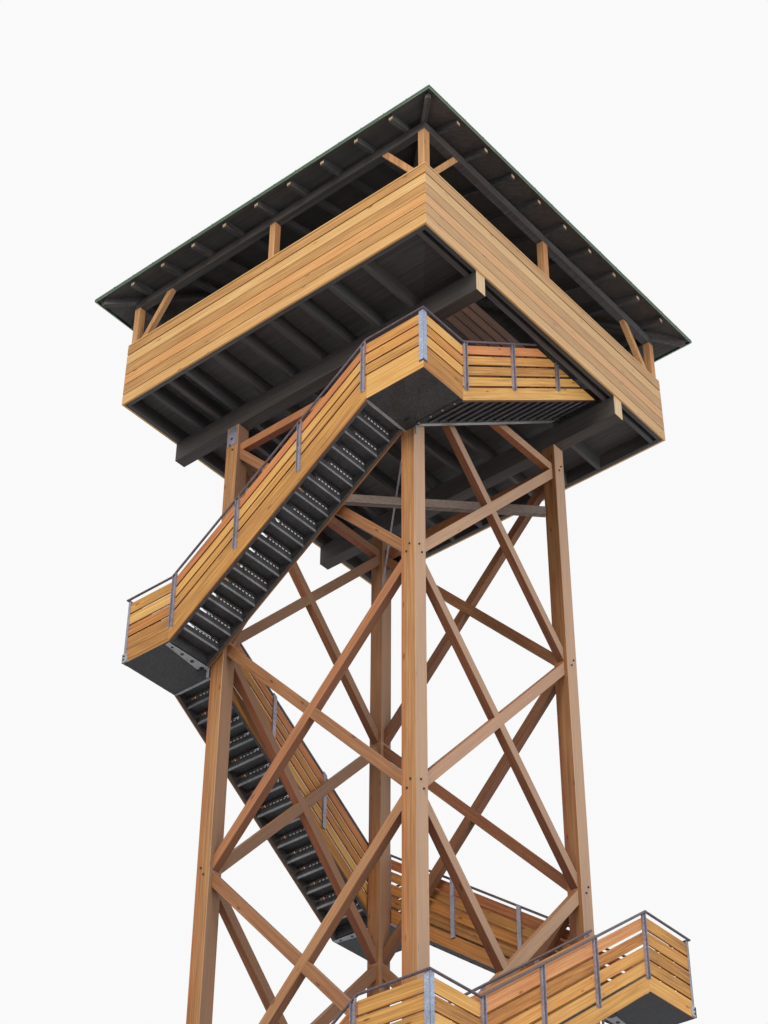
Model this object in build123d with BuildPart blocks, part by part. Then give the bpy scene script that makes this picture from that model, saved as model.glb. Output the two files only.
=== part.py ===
from build123d import *
import math
import os

os.makedirs("parts", exist_ok=True)

# A timber lookout tower on four legs, with a stair that winds round the outside.
# Sizes are in millimetres. It is drawn about the centre of its legs and saved with the
# origin on the ground under the south-east leg, whose shoe is bolted down there.
# -Y is the south side, +X the east side, +Y the north side and -X the west side.

# Stair, driving sizes
stair_rise = 184.0
stair_going = 264.0
risers_per_flight = 16
flight_count = 9
tread_depth = 262.0
tread_thickness = 45.0
stringer_thickness = 55.0
stringer_below_pitch = 225.0
stringer_above_pitch = 60.0
stair_width = 1029.0
stair_inner_gap = 30.0
landing_edge_inset = 30.0
landing_deck_thickness = 45.0
landing_frame_width = 60.0
landing_frame_depth = 160.0
landing_rib_width = 40.0

# Guards beside the stair, heights measured straight down from the handrail's top
handrail_height = 1102.0
handrail_diameter = 42.0
guard_board_thickness = 28.0
guard_first_board_drop = 97.0
guard_board_pitch = 239.0
guard_board_gap = 16.0
guard_board_count = 4
guard_post_width = 60.0
guard_post_thickness = 40.0
guard_post_places = (-760.0, 590.0)

# Frame below the cabin
leg_half_span = 2060.0
leg_width = 280.0
leg_chamfer = 8.0
leg_shoe_height = 60.0
leg_shoe_plate = 330.0
brace_depth = 180.0
brace_width = 140.0
bay_height = 4325.0
top_node_drop = 1325.0
lowest_node_height = 260.0
plan_tie_drop = 2370.0
plan_tie_depth = 180.0
plan_tie_width = 100.0
plan_rod_diameter = 30.0

# Cabin
cabin_beyond_stair = 371.0
main_beam_depth = 440.0
main_beam_width = 240.0
joist_depth = 310.0
joist_width = 80.0
edge_joist_spacing = 460.0
leg_joist_spacing = 410.0
joist_spaces_between_legs = 6
deck_thickness = 60.0
cladding_thickness = 40.0
cladding_height = 1490.0
cladding_cap_thickness = 36.0
cladding_cap_width = 40.0
cladding_gap = 10.0
cladding_board_count = 6
cabin_post_width = 140.0
post_top_height = 2440.0
knee_brace_reach = 700.0
knee_brace_drop = 1000.0
knee_brace_depth = 140.0
knee_brace_width = 100.0
knee_brace_foot_slant = 1.4
opening_length = 3930.0
opening_inner_margin = 10.0
opening_outer_margin = 91.0
opening_guard_height = 1120.0
opening_guard_boards = 4

# Roof
wall_plate_width = 140.0
joint_gap = 0.3
eaves_overhang = 520.0
eaves_height = 2649.0
roof_pitch = 15.0
rafter_depth = 150.0
rafter_width = 80.0
rafter_spacing = 795.0
rafter_count = 9
rafter_end_setback = 60.0
roof_board_thickness = 28.0
roof_sheet_thickness = 5.0
roof_sheet_overhang = 40.0
roof_point_flat = 1.0
eaves_trim_depth = 60.0
eaves_trim_thickness = 4.0
hip_rafter_width = 100.0

# Levels worked out from the driving sizes
flight_rise = stair_rise * risers_per_flight
floor_level = flight_rise * flight_count
joist_top = floor_level - deck_thickness
joist_bottom = joist_top - joist_depth
leg_top = joist_bottom - main_beam_depth
leg_outer_face = leg_half_span + leg_width / 2
leg_inner_face = leg_half_span - leg_width / 2
landing_edge = leg_half_span - landing_edge_inset
stair_outer_face = leg_outer_face + stair_width
flight_run = stair_going * (risers_per_flight - 1)
first_riser = landing_edge - flight_run
lower_kink = first_riser - stair_going
pitch_ratio = stair_rise / stair_going
top_node = floor_level - top_node_drop
cabin_half_width = stair_outer_face + cabin_beyond_stair
eaves_half_width = cabin_half_width + eaves_overhang
opening_start = landing_edge - opening_length
guard_inner_face = stair_outer_face - guard_board_thickness
outer_stringer_inner_face = guard_inner_face - stringer_thickness
inner_guard_outer_face = leg_outer_face + stair_inner_gap + guard_board_thickness
inner_stringer_outer_face = inner_guard_outer_face + stringer_thickness
opening_inner = leg_outer_face - opening_inner_margin
opening_outer = stair_outer_face + opening_outer_margin
tan_roof = math.tan(math.radians(roof_pitch))
rail_centre_height = handrail_height - handrail_diameter / 2
outer_rail_line = stair_outer_face + guard_post_thickness / 2
inner_post_face = inner_guard_outer_face - guard_board_thickness
inner_rail_line = inner_post_face + handrail_diameter / 2


def side_plane(side, offset, level=0.0):
    """Upright plane that faces out from one side of the tower, its x along the climb."""
    normal = Vector(0, -1, 0).rotate(Axis.Z, 90 * side)
    along = Vector(1, 0, 0).rotate(Axis.Z, 90 * side)
    return Plane(origin=normal * offset + Vector(0, 0, level), x_dir=along, z_dir=normal)


def level_plane(side, level):
    """Level plane turned to one side: x along the climb, -y outwards."""
    along = Vector(1, 0, 0).rotate(Axis.Z, 90 * side)
    return Plane(origin=(0, 0, level), x_dir=along, z_dir=(0, 0, 1))


def mitred_strip(outer, width, gap=0.0):
    """Plan of a strip along one side, cut at 45 degrees where it meets the next side's."""
    inner = outer - width
    return (gap - outer, -outer), (outer - gap, -outer), (inner - gap, -inner), (gap - inner, -inner)


def flight_side(flight):
    """Side that a flight climbs along: 0 south, 1 east, 2 north, 3 west."""
    return (flight + 1) % 4


def cut_at_ground():
    """Takes away what a sketch on a side of the tower has below the ground."""
    with Locations((lower_kink, 0)):
        Rectangle(flight_run, flight_run, align=(Align.CENTER, Align.MAX), mode=Mode.SUBTRACT)


def cut_at_cabin():
    """Takes away what a sketch on a side of the tower has above the underside of the cabin."""
    with Locations((0, joist_bottom)):
        size = 2 * stair_outer_face
        Rectangle(size, size, align=(Align.CENTER, Align.MIN), mode=Mode.SUBTRACT)


def save(piece, name):
    """Writes a piece, moved so that the origin is under the south-east leg."""
    placed = Pos(-leg_half_span, leg_half_span, 0) * piece.part
    placed.label = name
    export_step(placed, f"parts/{name}.step")


# Legs, one square timber at each corner
corners = {
    "southwest": (-leg_half_span, -leg_half_span),
    "southeast": (leg_half_span, -leg_half_span),
    "northeast": (leg_half_span, leg_half_span),
    "northwest": (-leg_half_span, leg_half_span),
}
for corner_name, corner in corners.items():
    with BuildPart() as leg:
        with BuildSketch(Plane.XY.offset(leg_shoe_height)):
            with Locations(corner):
                Rectangle(leg_width, leg_width)
        extrude(amount=leg_top - leg_shoe_height)
        chamfer(leg.edges().filter_by(Axis.Z), leg_chamfer)
    save(leg, f"leg_{corner_name}")

# Steel shoes that carry the legs on the ground
with BuildPart() as shoes:
    with BuildSketch():
        with Locations(*corners.values()):
            Rectangle(leg_shoe_plate, leg_shoe_plate)
    extrude(amount=leg_shoe_height)
save(shoes, "leg_shoes")

# Crossed timbers between the legs, and the ring tie at the top node
side_names = ["south", "east", "north", "west"]
node_levels = [top_node]
while node_levels[-1] - bay_height > lowest_node_height + bay_height / 2:
    node_levels.append(node_levels[-1] - bay_height)
node_levels.append(lowest_node_height)

for side, side_name in enumerate(side_names):
    with BuildPart() as bracing:
        for upper, lower in zip(node_levels, node_levels[1:]):
            height = upper - lower
            brace_length = math.hypot(2 * leg_half_span, height)
            brace_angle = math.degrees(math.atan2(height, 2 * leg_half_span))
            with BuildSketch(side_plane(side, leg_half_span - brace_width / 2, (upper + lower) / 2)):
                Rectangle(brace_length, brace_depth, rotation=brace_angle)
                Rectangle(brace_length, brace_depth, rotation=-brace_angle)
                Rectangle(2 * leg_inner_face, height, mode=Mode.INTERSECT)
            extrude(amount=brace_width)
        with BuildSketch(side_plane(side, leg_half_span - brace_width / 2, top_node)):
            Rectangle(2 * leg_inner_face, brace_depth)
        extrude(amount=brace_width)
    save(bracing, f"bracing_{side_name}")

# Level tie between two opposite legs, and the steel rod that crosses it
plan_diagonal = math.sqrt(2) * (2 * leg_inner_face + leg_chamfer)
plan_tie_level = floor_level - plan_tie_drop
with BuildPart() as plan_tie:
    with BuildSketch(Plane.XY.offset(plan_tie_level)):
        Rectangle(plan_diagonal, plan_tie_width, rotation=45)
    extrude(amount=plan_tie_depth)
save(plan_tie, "plan_tie")

with BuildPart() as plan_rod:
    rod_level = plan_tie_level + plan_tie_depth + plan_rod_diameter / 2
    with BuildSketch(Plane(origin=(0, 0, rod_level), x_dir=(1, 1, 0), z_dir=(1, -1, 0))):
        Circle(plan_rod_diameter / 2)
    extrude(amount=plan_diagonal / 2, both=True)
save(plan_rod, "plan_rod")

# Two main beams on the legs, running east and west
for beam_name, beam_y in (("main_beam_south", -leg_half_span), ("main_beam_north", leg_half_span)):
    with BuildPart() as main_beam:
        with BuildSketch(Plane.XY.offset(leg_top)):
            with Locations((0, beam_y)):
                beam_half_length = cabin_half_width - cladding_thickness
                Rectangle(2 * beam_half_length, main_beam_width)
        extrude(amount=main_beam_depth)
    save(main_beam, beam_name)

# Joists across the beams, with trimmers at the ends of the stair opening
frame_half_width = cabin_half_width - cladding_thickness
opening_end = landing_edge
opening_middle = (opening_inner + opening_outer) / 2
joist_reach = frame_half_width - joist_width
between_spacing = 2 * leg_half_span / joist_spaces_between_legs
joist_rows = [
    -frame_half_width + joist_width / 2,
    -leg_half_span - leg_joist_spacing - edge_joist_spacing,
    -leg_half_span - leg_joist_spacing,
]
joist_rows += [-leg_half_span + index * between_spacing for index in range(joist_spaces_between_legs)]
joist_rows += [
    opening_inner - joist_width / 2,
    opening_outer + joist_width / 2,
    frame_half_width - joist_width / 2,
]
with BuildPart() as joists:
    with BuildSketch(Plane.XY.offset(joist_bottom)):
        with Locations(*[(row, 0) for row in joist_rows]):
            Rectangle(joist_width, 2 * joist_reach)
    extrude(amount=joist_depth)
save(joists, "floor_joists")

with BuildPart() as trimmers:
    with BuildSketch(Plane.XY.offset(joist_bottom)):
        with Locations((0, -joist_reach - joist_width / 2), (0, joist_reach + joist_width / 2)):
            Rectangle(2 * frame_half_width, joist_width)
        with Locations(
            (opening_middle, opening_start - joist_width / 2),
            (opening_middle, opening_end + joist_width / 2),
        ):
            Rectangle(opening_outer - opening_inner, joist_width)
    extrude(amount=joist_depth)
save(trimmers, "rim_and_trimmer_joists")

with BuildPart() as deck:
    with BuildSketch(Plane.XY.offset(joist_top)):
        Rectangle(2 * frame_half_width, 2 * frame_half_width)
        with Locations((opening_middle, (opening_start + opening_end) / 2)):
            Rectangle(opening_outer - opening_inner, opening_end - opening_start, mode=Mode.SUBTRACT)
    extrude(amount=deck_thickness)
save(deck, "cabin_floor")

# Boarded guard round the cabin, its boards mitred at the corners
cladding_zone = cladding_height / cladding_board_count
for side, side_name in enumerate(side_names):
    with BuildPart() as guard:
        for board in range(cladding_board_count):
            with BuildSketch(level_plane(side, joist_bottom + board * cladding_zone)):
                Polygon(*mitred_strip(cabin_half_width, cladding_thickness), align=None)
            extrude(amount=cladding_zone - cladding_gap)
        cap_level = joist_bottom + cladding_height - cladding_gap
        with BuildSketch(level_plane(side, cap_level)):
            Polygon(*mitred_strip(cabin_half_width, cladding_cap_width), align=None)
        extrude(amount=cladding_cap_thickness)
    save(guard, f"cabin_guard_{side_name}")

# Posts of the cabin, three to a side, standing on the floor inside the boards
post_line = frame_half_width - cabin_post_width / 2
post_places = [
    (x, y)
    for x in (-post_line, 0, post_line)
    for y in (-post_line, 0, post_line)
    if x or y
]
post_top = joist_bottom + post_top_height
with BuildPart() as posts:
    with BuildSketch(Plane.XY.offset(floor_level)):
        with Locations(*post_places):
            Rectangle(cabin_post_width, cabin_post_width)
    extrude(amount=post_top - floor_level)
save(posts, "cabin_posts")

# Knee braces from the corner posts up to the wall plates
with BuildPart() as knees:
    for side in range(4):
        for hand in (-1, 1):
            inner = post_line - cabin_post_width / 2
            with BuildSketch(side_plane(side, post_line - knee_brace_width / 2)):
                Polygon(
                    (hand * inner, post_top - knee_brace_drop),
                    (hand * (inner - knee_brace_reach), post_top),
                    (hand * (inner - knee_brace_reach - knee_brace_depth), post_top),
                    (hand * inner, post_top - knee_brace_drop - knee_brace_depth * knee_brace_foot_slant),
                    align=None,
                )
            extrude(amount=knee_brace_width)
save(knees, "knee_braces")

# Pyramid roof: rafters under boards under a thin metal sheet
eaves_level = joist_bottom + eaves_height
roof_board_half = eaves_half_width - roof_sheet_overhang
roof_board_level = eaves_level + roof_sheet_overhang * tan_roof - roof_board_thickness
rafter_tail = roof_board_half - rafter_end_setback
plate_centre = frame_half_width - wall_plate_width / 2
rafter_level = roof_board_level - rafter_depth
plate_top = rafter_level + (roof_board_half - plate_centre) * tan_roof


def roof_layer(half_width, level, thickness):
    """Square pyramid shell of even upright thickness at the roof's pitch."""
    rise = half_width * tan_roof
    with BuildPart() as layer:
        with BuildSketch(Plane.XY.offset(level)):
            Rectangle(2 * half_width, 2 * half_width)
        extrude(amount=thickness)
        with BuildSketch(Plane.XY.offset(level + thickness)):
            Rectangle(2 * half_width, 2 * half_width)
        extrude(amount=rise - roof_point_flat, taper=90 - roof_pitch)
        with BuildSketch(Plane.XY.offset(level)):
            Rectangle(2 * half_width, 2 * half_width)
        extrude(amount=rise - roof_point_flat, taper=90 - roof_pitch, mode=Mode.SUBTRACT)
    return layer


roof_boards = roof_layer(roof_board_half, roof_board_level, roof_board_thickness)
save(roof_boards, "roof_boards")
roof_sheet = roof_layer(eaves_half_width, eaves_level, roof_sheet_thickness)
save(roof_sheet, "roof_sheet")

# Thin metal trim turned down along the eaves
with BuildPart() as eaves_trim:
    for side in range(4):
        with BuildSketch(level_plane(side, eaves_level)):
            Polygon(*mitred_strip(eaves_half_width, eaves_trim_thickness, joint_gap), align=None)
        extrude(amount=-eaves_trim_depth)
save(eaves_trim, "eaves_trim")

# Wall plates on the posts, one to a side
plate_inside = frame_half_width - wall_plate_width
with BuildPart() as plates:
    with BuildSketch(Plane.XY.offset(post_top)):
        for hand in (-1, 1):
            with Locations((0, hand * plate_centre)):
                Rectangle(2 * frame_half_width, wall_plate_width)
            with Locations((hand * plate_centre, 0)):
                Rectangle(wall_plate_width, 2 * (plate_inside - joint_gap))
    extrude(amount=plate_top - post_top)
save(plates, "wall_plates")

# Rafters: drawn in plan, raised, then kept only where they lie under the roof boards
rafter_shell = roof_layer(roof_board_half, rafter_level, rafter_depth)
rafter_room = roof_board_level + roof_board_half * tan_roof - rafter_level
rafter_places = [
    (index - (rafter_count - 1) / 2) * rafter_spacing for index in range(rafter_count)
]
hip_shoulder = hip_rafter_width / math.sqrt(2)
with BuildPart() as rafters:
    for side in range(4):
        with BuildSketch(level_plane(side, rafter_level)):
            for place in rafter_places:
                west_edge = place - rafter_width / 2
                east_edge = place + rafter_width / 2
                if place:
                    heads = (
                        (east_edge, -abs(east_edge) - hip_shoulder),
                        (west_edge, -abs(west_edge) - hip_shoulder),
                    )
                else:
                    heads = (
                        (east_edge, -east_edge - hip_shoulder),
                        (0, -hip_shoulder),
                        (west_edge, west_edge - hip_shoulder),
                    )
                Polygon((west_edge, -rafter_tail), (east_edge, -rafter_tail), *heads, align=None)
    extrude(amount=rafter_room)
    add(rafter_shell.part, mode=Mode.INTERSECT)
    add(plates.part, mode=Mode.SUBTRACT)
save(rafters, "rafters")

# Hip rafters, joined at the top of the roof and bevelled to both slopes
hip_length = 2 * math.sqrt(2) * rafter_tail
with BuildPart() as hips:
    with BuildSketch(Plane.XY.offset(rafter_level)):
        Rectangle(hip_length, hip_rafter_width, rotation=45)
        Rectangle(hip_length, hip_rafter_width, rotation=-45)
        Rectangle(2 * rafter_tail, 2 * rafter_tail, mode=Mode.INTERSECT)
    extrude(amount=rafter_room)
    add(rafter_shell.part, mode=Mode.INTERSECT)
    add(plates.part, mode=Mode.SUBTRACT)
save(hips, "hip_rafters")

# Treads, the lowest of each upper flight level with the landing that it leaves
tread_length = outer_stringer_inner_face - inner_stringer_outer_face
with BuildPart() as treads:
    for flight in range(flight_count):
        for step in range(0 if flight else 1, risers_per_flight):
            level = flight * flight_rise + step * stair_rise - tread_thickness
            middle = lower_kink + step * stair_going + tread_depth / 2
            with BuildSketch(level_plane(flight_side(flight), level)):
                with Locations((middle, -inner_stringer_outer_face - tread_length / 2)):
                    Rectangle(tread_depth, tread_length)
    extrude(amount=tread_thickness)
save(treads, "stair_treads")

# Raking stringers on both sides of the treads
stringer_faces = {
    "outer_stringers": outer_stringer_inner_face,
    "inner_stringers": inner_stringer_outer_face - stringer_thickness,
}
for stringer_name, stringer_face in stringer_faces.items():
    with BuildPart() as stringers:
        for flight in range(flight_count):
            with BuildSketch(side_plane(flight_side(flight), stringer_face, flight * flight_rise)):
                Polygon(
                    (lower_kink, -stringer_below_pitch),
                    (landing_edge, flight_rise - stringer_below_pitch),
                    (landing_edge, flight_rise + stringer_above_pitch),
                    (lower_kink, stringer_above_pitch),
                    align=None,
                )
                if flight == 0:
                    cut_at_ground()
        extrude(amount=stringer_thickness)
    save(stringers, stringer_name)

# Corner landings, notched round the legs
landing_outline = (
    (landing_edge, -guard_inner_face),
    (guard_inner_face, -guard_inner_face),
    (guard_inner_face, lower_kink),
    (leg_outer_face, lower_kink),
    (leg_outer_face, -leg_outer_face),
    (landing_edge, -leg_outer_face),
)
with BuildPart() as landings:
    for flight in range(flight_count - 1):
        level = (flight + 1) * flight_rise
        with BuildSketch(level_plane(flight_side(flight), level - landing_deck_thickness)):
            Polygon(*landing_outline, align=None)
        extrude(amount=landing_deck_thickness)
save(landings, "landing_decks")

# Steel bars under each landing, bearing on the leg: two along the edges, two at the ends
# and a rib from the leg's corner to the outer corner
bar_inside = guard_inner_face - landing_frame_width
rib_start = landing_frame_width - lower_kink + joint_gap + landing_rib_width / math.sqrt(8)
rib_end = bar_inside - joint_gap - landing_rib_width / math.sqrt(8)
with BuildPart() as landing_frames:
    for flight in range(flight_count - 1):
        level = (flight + 1) * flight_rise - landing_deck_thickness
        with BuildSketch(level_plane(flight_side(flight), level)):
            for west, south, east, north in (
                (landing_edge, -guard_inner_face, guard_inner_face, -bar_inside),
                (bar_inside, joint_gap - bar_inside, guard_inner_face, lower_kink),
                (landing_edge, joint_gap - bar_inside, landing_edge + landing_frame_width, -leg_outer_face),
                (leg_outer_face, lower_kink - landing_frame_width, bar_inside - joint_gap, lower_kink),
            ):
                with Locations(((west + east) / 2, (south + north) / 2)):
                    Rectangle(east - west, north - south)
            with Locations(((rib_start + rib_end) / 2, -(rib_start + rib_end) / 2)):
                Rectangle((rib_end - rib_start) * math.sqrt(2), landing_rib_width, rotation=-45)
        extrude(amount=-landing_frame_depth)
save(landing_frames, "landing_frames")

# Boarded guards on both sides of each flight and round the landings
board_drops = [
    (
        guard_first_board_drop + board * guard_board_pitch,
        guard_first_board_drop + (board + 1) * guard_board_pitch - guard_board_gap,
    )
    for board in range(guard_board_count)
]
board_drops.append((board_drops[-1][1] + guard_board_gap, handrail_height + stringer_below_pitch))
guard_faces = {
    "outer_flight_guards": guard_inner_face,
    "inner_flight_guards": inner_post_face,
}
for guard_name, guard_face in guard_faces.items():
    with BuildPart() as guard:
        for flight in range(flight_count):
            base = flight * flight_rise + handrail_height
            for top, bottom in board_drops:
                with BuildSketch(side_plane(flight_side(flight), guard_face)):
                    Polygon(
                        (lower_kink, base - bottom),
                        (landing_edge, base + flight_rise - bottom),
                        (landing_edge, base + flight_rise - top),
                        (lower_kink, base - top),
                        align=None,
                    )
                    if flight == 0:
                        cut_at_ground()
                    if flight == flight_count - 1:
                        cut_at_cabin()
                extrude(amount=guard_board_thickness)
    save(guard, guard_name)

with BuildPart() as landing_guards:
    for flight in range(flight_count - 1):
        side = flight_side(flight)
        level = (flight + 1) * flight_rise + handrail_height
        for top, bottom in board_drops:
            with BuildSketch(level_plane(side, level - bottom)):
                Polygon(
                    (landing_edge, -stair_outer_face),
                    (stair_outer_face - joint_gap, -stair_outer_face),
                    (guard_inner_face - joint_gap, -guard_inner_face),
                    (landing_edge, -guard_inner_face),
                    align=None,
                )
            extrude(amount=bottom - top)
            with BuildSketch(level_plane(side + 1, level - bottom)):
                Polygon(
                    (lower_kink, -stair_outer_face),
                    (-stair_outer_face, -stair_outer_face),
                    (-guard_inner_face, -guard_inner_face),
                    (lower_kink, -guard_inner_face),
                    align=None,
                )
            extrude(amount=bottom - top)
save(landing_guards, "landing_guards")

# Steel posts that hold the guards: outside the outer boards, and between the inner boards and the legs
post_places_along = (lower_kink + guard_post_width, *guard_post_places, landing_edge - guard_post_width)
rail_drop = handrail_diameter / 2 * math.hypot(1, pitch_ratio)
with BuildPart() as guard_posts:
    for flight in range(flight_count):
        for place in post_places_along:
            pitch_line = flight * flight_rise + (place - lower_kink) * pitch_ratio
            bottom = max(pitch_line - stringer_below_pitch / 2, leg_shoe_height)
            if joist_bottom - bottom < handrail_height / 2:
                continue
            rails = (
                (stair_outer_face, guard_post_thickness, rail_centre_height - rail_drop),
                (leg_outer_face, stair_inner_gap, rail_centre_height),
            )
            for face, thickness, height in rails:
                with BuildSketch(side_plane(flight_side(flight), face)):
                    half_slope = guard_post_width / 2 * pitch_ratio
                    Polygon(
                        (place - guard_post_width / 2, bottom),
                        (place + guard_post_width / 2, bottom),
                        (place + guard_post_width / 2, pitch_line + height + half_slope),
                        (place - guard_post_width / 2, pitch_line + height - half_slope),
                        align=None,
                    )
                    cut_at_cabin()
                extrude(amount=thickness)
save(guard_posts, "guard_posts")


# Round steel handrails, their straight lengths mitred where they meet
def tower_point(side, along, outwards, level):
    """Point given by its place along a side, its distance out from the middle and its level."""
    return Vector(along, -outwards, level).rotate(Axis.Z, 90 * side)


def rail_length(start, end, start_cut, end_cut):
    """Round bar between two points, trimmed by a plane at each end."""
    way = (end - start).normalized()
    spare = 2 * handrail_diameter
    with BuildPart() as bar:
        with BuildSketch(Plane(origin=start - way * spare, z_dir=way)):
            Circle(handrail_diameter / 2)
        extrude(amount=(end - start).length + 2 * spare)
        split(bisect_by=start_cut, keep=Keep.TOP)
        split(bisect_by=end_cut, keep=Keep.BOTTOM)
    return bar.part


outer_rail_points = []
inner_rail_ends = []
for flight in range(flight_count):
    side = flight_side(flight)
    low = flight * flight_rise + rail_centre_height
    outer_rail_points.append(tower_point(side, lower_kink, outer_rail_line, low))
    outer_rail_points.append(tower_point(side, landing_edge, outer_rail_line, low + flight_rise))
    outer_rail_points.append(tower_point(side, outer_rail_line, outer_rail_line, low + flight_rise))
    inner_rail_ends.append(
        (
            tower_point(side, lower_kink, inner_rail_line, low),
            tower_point(side, landing_edge, inner_rail_line, low + flight_rise),
        )
    )
outer_rail_points.pop()

cabin_cut = Plane(origin=(0, 0, joist_bottom))
with BuildPart() as handrails:
    last = len(outer_rail_points) - 2
    for index, (start, end) in enumerate(zip(outer_rail_points, outer_rail_points[1:])):
        way = (end - start).normalized()
        start_cut = Plane(origin=start, z_dir=way)
        end_cut = Plane(origin=end, z_dir=way)
        if index > 0:
            before = (start - outer_rail_points[index - 1]).normalized()
            start_cut = Plane(origin=start + way * joint_gap / 2, z_dir=before + way)
        if index < last:
            after = (outer_rail_points[index + 2] - end).normalized()
            end_cut = Plane(origin=end - way * joint_gap / 2, z_dir=way + after)
        else:
            end_cut = cabin_cut
        add(rail_length(start, end, start_cut, end_cut))
    for flight, (start, end) in enumerate(inner_rail_ends):
        way = (end - start).normalized()
        end_cut = cabin_cut if flight == flight_count - 1 else Plane(origin=end, z_dir=way)
        add(rail_length(start, end, Plane(origin=start, z_dir=way), end_cut))
save(handrails, "handrails")

# Guard inside the cabin along the stair opening, boards on short posts
opening_zone = opening_guard_height / opening_guard_boards
with BuildPart() as opening_guard:
    for board in range(opening_guard_boards):
        with BuildSketch(Plane.XY.offset(floor_level + board * opening_zone + guard_board_gap)):
            with Locations((opening_inner - guard_board_thickness / 2, (opening_start + opening_end) / 2)):
                Rectangle(guard_board_thickness, opening_length)
        extrude(amount=opening_zone - guard_board_gap)
save(opening_guard, "opening_guard")

with BuildPart() as opening_posts:
    with BuildSketch(Plane.XY.offset(floor_level)):
        post_line_x = opening_inner - guard_board_thickness - guard_post_width / 2
        with Locations((post_line_x, (opening_start + opening_end) / 2)):
            with GridLocations(0, (opening_length - guard_post_width) / 3, 1, 4):
                Rectangle(guard_post_width, guard_post_width)
    extrude(amount=opening_guard_height)
save(opening_posts, "opening_guard_posts")
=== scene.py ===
import math

import bmesh
import bpy
from mathutils import Matrix, Vector


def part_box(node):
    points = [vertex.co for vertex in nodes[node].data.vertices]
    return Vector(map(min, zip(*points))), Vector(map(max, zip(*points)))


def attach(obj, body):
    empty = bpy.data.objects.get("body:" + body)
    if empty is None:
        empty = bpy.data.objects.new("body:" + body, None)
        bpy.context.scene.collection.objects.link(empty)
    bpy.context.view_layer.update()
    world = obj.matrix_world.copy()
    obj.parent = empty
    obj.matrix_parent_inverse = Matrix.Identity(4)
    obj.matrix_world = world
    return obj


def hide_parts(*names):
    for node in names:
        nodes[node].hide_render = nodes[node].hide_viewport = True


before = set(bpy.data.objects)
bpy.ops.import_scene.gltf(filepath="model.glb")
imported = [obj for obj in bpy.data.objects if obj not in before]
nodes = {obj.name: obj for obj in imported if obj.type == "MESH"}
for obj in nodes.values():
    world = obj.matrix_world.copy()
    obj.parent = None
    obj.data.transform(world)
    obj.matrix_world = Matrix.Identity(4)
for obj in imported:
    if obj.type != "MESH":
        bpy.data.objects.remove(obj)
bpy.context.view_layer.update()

# Sizes in metres, the same as in the CAD source
RISE = 0.184
GOING = 0.264
RISERS = 16
FLIGHTS = 9
LANDING_EDGE = 2.030
TREAD_DEPTH = 0.262
TREAD_THICKNESS = 0.045
STAIR_OUTER = 3.229
BOARD = 0.028
STRINGER = 0.055
STRINGER_BELOW = 0.225
LEG_HALF_SPAN = 2.060
LEG_WIDTH = 0.280
INNER_GAP = 0.030
HANDRAIL_HEIGHT = 1.102
HANDRAIL = 0.042
FIRST_BOARD_DROP = 0.097
BOARD_PITCH = 0.239
POST_PLACES = (-0.760, 0.590)
POST_END_INSET = 0.060
BRACE_DEPTH = 0.180
BRACE_WIDTH = 0.140
BAY_HEIGHT = 4.325
TOP_NODE_DROP = 1.325
LOWEST_NODE = 0.260
SHOE_HEIGHT = 0.060
CABIN_HALF = 3.600
CABIN_DECK = 0.060
JOIST_DEPTH = 0.310
BEAM_DEPTH = 0.440
BEAM_WIDTH = 0.240
CLADDING = 0.040
CLADDING_HEIGHT = 1.490
CLADDING_CAP = 0.036
CLADDING_ROWS = 6
CLADDING_GAP = 0.016
EAVES_HALF = 4.120
EAVES_HEIGHT = 2.649
EAVES_TRIM = (0.004, 0.060)
ROOF_PITCH = 15
ROOF_SHEET = 0.005
RAFTER_END = 4.020
RAFTER_WIDTH = 0.080
RAFTER_DEPTH = 0.150
RAFTER_DROP = 0.151
RAFTER_SPACING = 0.795
RAFTER_COUNT = 9

# Sizes of the pieces that only this scene has
FLIGHT_BOARD_GAP = 0.044
LANDING_BOARD_GAP = 0.030
CLADDING_TOP_GAP = 0.034
CLADDING_CAP_GAP = 0.020
OPENING_GAP = 0.045
OPENING_ROWS = 4
BOARD_BEVEL = 0.003
BEAM_BEVEL = 0.004
CHANNEL_WIDTH = 0.080
CHANNEL_DEPTH = 0.045
CHANNEL_WALL = 0.006
FLIGHT_EDGE_DEPTH = 0.012

# Corner angles and posts: width and wall; drops are measured down from a landing's level
CORNER_ANGLE = (0.085, 0.008)
CORNER_POST = (0.045, 0.008)
CORNER_DROP = 0.040
FOOT_TOP_DROP = 0.042
FOOT_DROP = 0.075
SHOE_DROP = 0.045
SHOE_LIFT = 0.010
SHOE_BOLT_RISES = (0.06, 0.13)
BOLT_RADIUS = 0.016
SHOE_BOLT_HEAD = 0.012

# Underside of the landings: strips, their holes or bolts, a tab and a round fitting
SOFFIT_PLATE = 0.006
PLATE_GAP = 0.0005
PLATE_INSET = 0.003
STRIP_INSET = 0.002
RIB_SIZE = (0.010, 0.004)
STRIP_DEPTH = 0.012
STRIP_WIDTH = 0.050
STRIP_OVERLAP = 0.045
STRIP_LEG_GAP = 0.020
STRIP_ENDS = (0.080, 0.190)
FRONT_STRIP_ENDS = (0.070, 0.070)
STRIP_HOLES = 4
STRIP_HOLE_SHARE = 0.24
STRIP_HOLE_DROP = 0.014
STRIP_HOLE_DEPTH = 0.008
FRONT_BOLT_RADIUS = 0.020
TAB_SIZE = (0.03, 0.03, 0.18)
TAB_PLACE = (0.02, 0.05, 0.10)
FITTING_RADIUS = 0.085
FITTING_DEPTH = 0.05
FITTING_SIDES = 16
FITTING_PLACE = (0.22, 0.16, 0.02)

# Folded steel treads and the strips with holes that stand on them
TREAD_WALL = 0.004
TREAD_LIP = 0.030
RISER_SOLID = 0.094
RISER_TOP = 0.126
RISER_CAP = 0.010
RISER_HOLE = 0.050
RISER_BAR = 0.030
RISER_SHARE = 0.80
MARK_INSET = 0.004

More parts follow.
